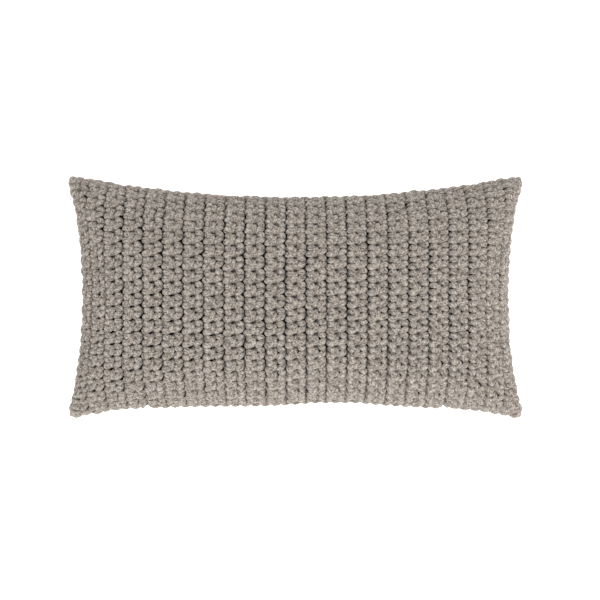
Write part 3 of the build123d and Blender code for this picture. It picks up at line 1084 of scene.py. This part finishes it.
# %% Plain weave
def plain_weave():
    p = Pattern(
        "plain_weave",
        colours=(("Warp", (0.5, 0.5, 0.5)), ("Weft", (0.4, 0.4, 0.4))),
        values=(("Threads", 900.0), ("Slub", 0.35)),
    )
    u, v, _ = p.apart(p.given["Vector"])
    x = p.maths("MULTIPLY", u, p.maths("MULTIPLY", p.given["Threads"], math.pi))
    y = p.maths("MULTIPLY", v, p.maths("MULTIPLY", p.given["Threads"], math.pi))
    on_top = p.between(p.maths("MULTIPLY", p.maths("SINE", x), p.maths("SINE", y)), -0.1, 0.1)
    warp = p.maths("ABSOLUTE", p.maths("SINE", x))
    weft = p.maths("ABSOLUTE", p.maths("SINE", y))
    height = p.maths("MULTIPLY", p.maths("MAXIMUM", warp, weft), p.maths("MULTIPLY_ADD", on_top, 0.3, 0.7))
    slub_warp = p.cloud(p.together(x, p.maths("MULTIPLY", y, 0.03)), 0.35)
    slub_weft = p.cloud(p.together(p.maths("MULTIPLY", x, 0.03), y), 0.35)
    slub = p.maths("SUBTRACT", p.maths("ADD", slub_warp, slub_weft), 1.0)
    wear = p.cloud(p.given["Vector"], 14.0, 3.0)
    colour = p.mixed(on_top, p.given["Weft"], p.given["Warp"])
    shade = p.maths("MULTIPLY_ADD", slub, p.given["Slub"], p.maths("MULTIPLY_ADD", wear, 0.4, 0.6))
    # Painted shade: the colour is darker where the weave's height is low, between the thread humps.
    shade = p.maths("MULTIPLY", shade, p.maths("MULTIPLY_ADD", height, 0.35, 0.75))
    return p.end(p.shaded(colour, shade), height)


WEAVE = plain_weave()
# Painted shade: the lining is given a very dark brown so that, where it shows through the crochet's holes,
# it stands for the shade there.
lining_finish = finish(
    "lining_weave_painted_hole_shade", WEAVE, "weave", {"Warp": (0.085, 0.062, 0.046), "Weft": (0.06, 0.044, 0.034)},
    rough=0.9, bump=0.5, depth=0.0003, sheen=0.2, values={"Threads": 1100.0},
)
ticking_finish = finish(
    "white_ticking_weave", WEAVE, "weave", {"Warp": (0.82, 0.8, 0.76), "Weft": (0.76, 0.74, 0.7)},
    rough=0.85, bump=0.4, depth=0.0002, sheen=0.15, values={"Threads": 1800.0, "Slub": 0.2},
)
tape_finish = finish(
    "taupe_zip_tape", WEAVE, "weave", {"Warp": (0.27, 0.235, 0.2), "Weft": (0.22, 0.19, 0.16)},
    rough=0.8, bump=0.5, depth=0.0002, sheen=0.2, values={"Threads": 1300.0, "Slub": 0.15},
)
dress([SHEETS["lining_front"], SHEETS["lining_back"]], lining_finish)
dress([SHEETS["insert_front"], SHEETS["insert_back"]], ticking_finish)
dress(TAPES, tape_finish)

# %% [markdown]
# Sewing thread is spun too, only finer, so it uses the heather pattern with two colours that are nearly
# alike. Loose fibre is a tangle: stretched noise in three directions, with the gaps between the clumps
# painted grey as shade.

# %% Thread and loose fibre
thread_finish = finish(
    "sewing_thread", HEATHER, "yarn",
    {"Light": (0.36, 0.31, 0.27), "Dark": (0.27, 0.23, 0.2), "Fleck": (0.5, 0.45, 0.4)},
    rough=0.6, bump=0.3, depth=0.0001, sheen=0.2, values={"Grain": 2600.0, "Twist": 5200.0},
)
dress(THREADS, thread_finish)


def loose_fibre():
    p = Pattern("loose_fibre", colours=(("Fibre", (0.85, 0.85, 0.83)), ("Painted_gap_shade", (0.5, 0.5, 0.49))))
    x, y, z = p.apart(p.given["Vector"])
    tangles = None
    for k, way in enumerate(((900, 90, 90), (90, 900, 90), (90, 90, 900))):
        at = p.together(*(p.maths("MULTIPLY", part, float(size)) for part, size in zip((x, y, z), way)))
        wisp = p.cloud(at, 1.0, 2.0)
        tangles = wisp if tangles is None else p.maths("MAXIMUM", tangles, wisp)
    clump = p.cloud(p.given["Vector"], 45.0, 3.0)
    # Painted shade: the gaps between the fibre clumps are painted grey.
    share = p.between(p.maths("MULTIPLY_ADD", clump, 0.6, p.maths("MULTIPLY", tangles, 0.5)), 0.48, 0.68)
    return p.end(p.mixed(share, p.given["Painted_gap_shade"], p.given["Fibre"]), share)


fibre_finish = finish(
    "hollow_fibre", loose_fibre(), None, {"Fibre": (0.86, 0.86, 0.84), "Painted_gap_shade": (0.52, 0.52, 0.51)},
    rough=0.95, bump=0.8, depth=0.001, sheen=0.5, specular=0.1,
)
dress([filling], fibre_finish)

# %% [markdown]
# The coil is dyed nylon. It is smooth and a little glossy, with streaks along the wire from the drawing
# of it. The slider, the tab and the stops are zinc, painted to match. The paint has worn through in
# specks and fine scratches.

# %% Nylon and painted metal
def drawn_nylon():
    p = Pattern("drawn_nylon", colours=(("Dye", (0.2, 0.17, 0.15)), ("Streak", (0.3, 0.26, 0.22))))
    along, around, _ = p.apart(p.given["Vector"])
    at = p.together(p.maths("MULTIPLY", along, 60.0), p.maths("MULTIPLY", around, 9.0))
    streak = p.cloud(at, 1.0, 3.0)
    return p.end(p.mixed(p.between(streak, 0.42, 0.62), p.given["Dye"], p.given["Streak"]), streak)


def painted_metal():
    p = Pattern("painted_metal", colours=(("Paint", (0.2, 0.17, 0.15)), ("Bare", (0.55, 0.53, 0.5))))
    x, y, z = p.apart(p.given["Vector"])
    fine = p.cloud(p.given["Vector"], 900.0, 4.0, 0.6)
    scratch_at = p.together(
        p.maths("MULTIPLY", x, 260.0), p.maths("MULTIPLY", y, 2600.0), p.maths("MULTIPLY", z, 2600.0)
    )
    scratch = p.between(p.cloud(scratch_at, 1.0, 1.0), 0.68, 0.72)
    speck = p.between(fine, 0.66, 0.7)
    worn = p.maths("MAXIMUM", p.maths("MULTIPLY", scratch, 0.6), speck)
    patchy = p.maths("MULTIPLY_ADD", p.cloud(p.given["Vector"], 220.0, 2.0), 0.5, 0.75)
    colour = p.mixed(worn, p.shaded(p.given["Paint"], patchy), p.given["Bare"])
    return p.end(colour, p.maths("SUBTRACT", fine, p.maths("MULTIPLY", worn, 0.4)))


nylon_finish = finish(
    "taupe_nylon_coil", drawn_nylon(), "yarn", {"Dye": (0.2, 0.17, 0.145), "Streak": (0.3, 0.26, 0.225)},
    rough=0.38, bump=0.15, depth=0.0001, specular=0.5,
)
metal_finish = finish(
    "painted_zip_metal", painted_metal(), None, {"Paint": (0.21, 0.18, 0.155), "Bare": (0.6, 0.58, 0.55)},
    rough=0.36, bump=0.2, depth=0.0001, specular=0.6, metallic=0.35,
)
dress(COILS, nylon_finish)
dress([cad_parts[node] for node in METAL], metal_finish)
